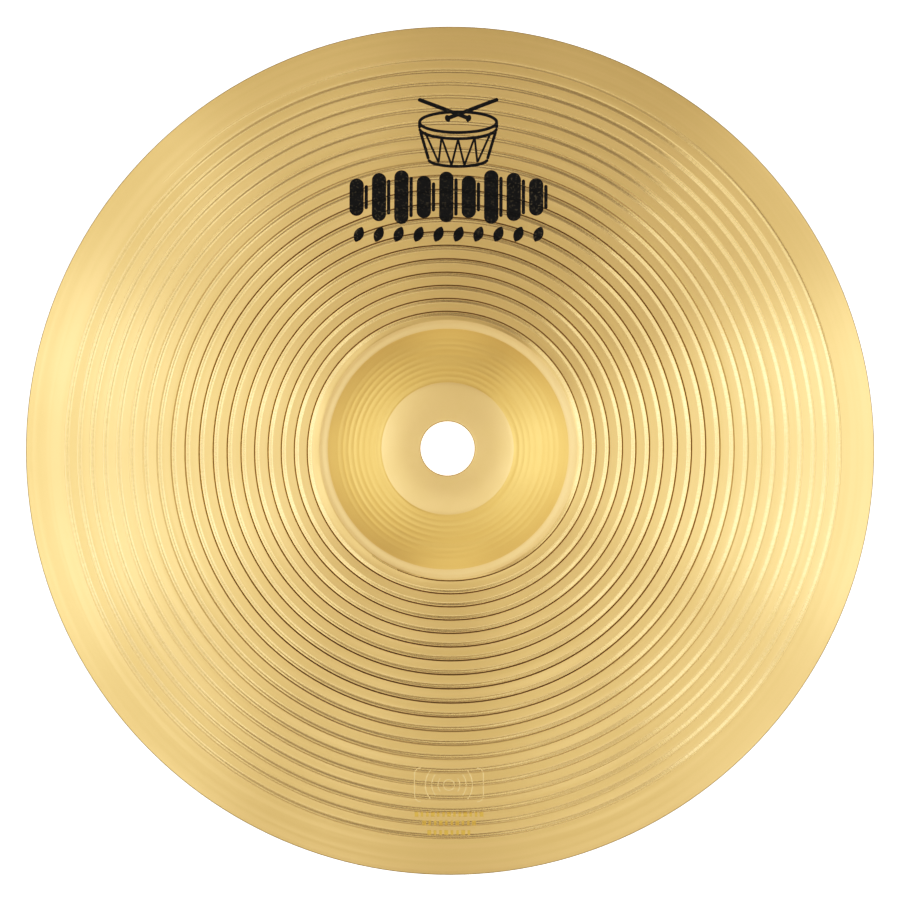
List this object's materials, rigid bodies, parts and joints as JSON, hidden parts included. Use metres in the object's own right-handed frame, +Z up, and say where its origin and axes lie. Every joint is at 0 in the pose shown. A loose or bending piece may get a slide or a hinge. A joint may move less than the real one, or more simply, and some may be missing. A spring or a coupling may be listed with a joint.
{
  "type": "hand cymbal",
  "caption": "Small round brass hand cymbal: a thin spun plate with a domed bell, an open centre hole, a spiral tonal groove over the bow and a plain rim band.",
  "frame": {"origin": "on the plate's axis, in the plane that the rim rests on", "axes": "+Z up the axis towards the crown of the bell; +Y towards the printed emblem, -Y towards the engraved mark; +X to the right of someone who faces +Y"},
  "size_m": [0.2032, 0.2032, 0.0205],
  "materials": {
    "brass": "satin",
    "print_ink": "matte"
  },
  "bodies": {
    "root": {"cymbal": "brass"}
  },
  "joints": []
}
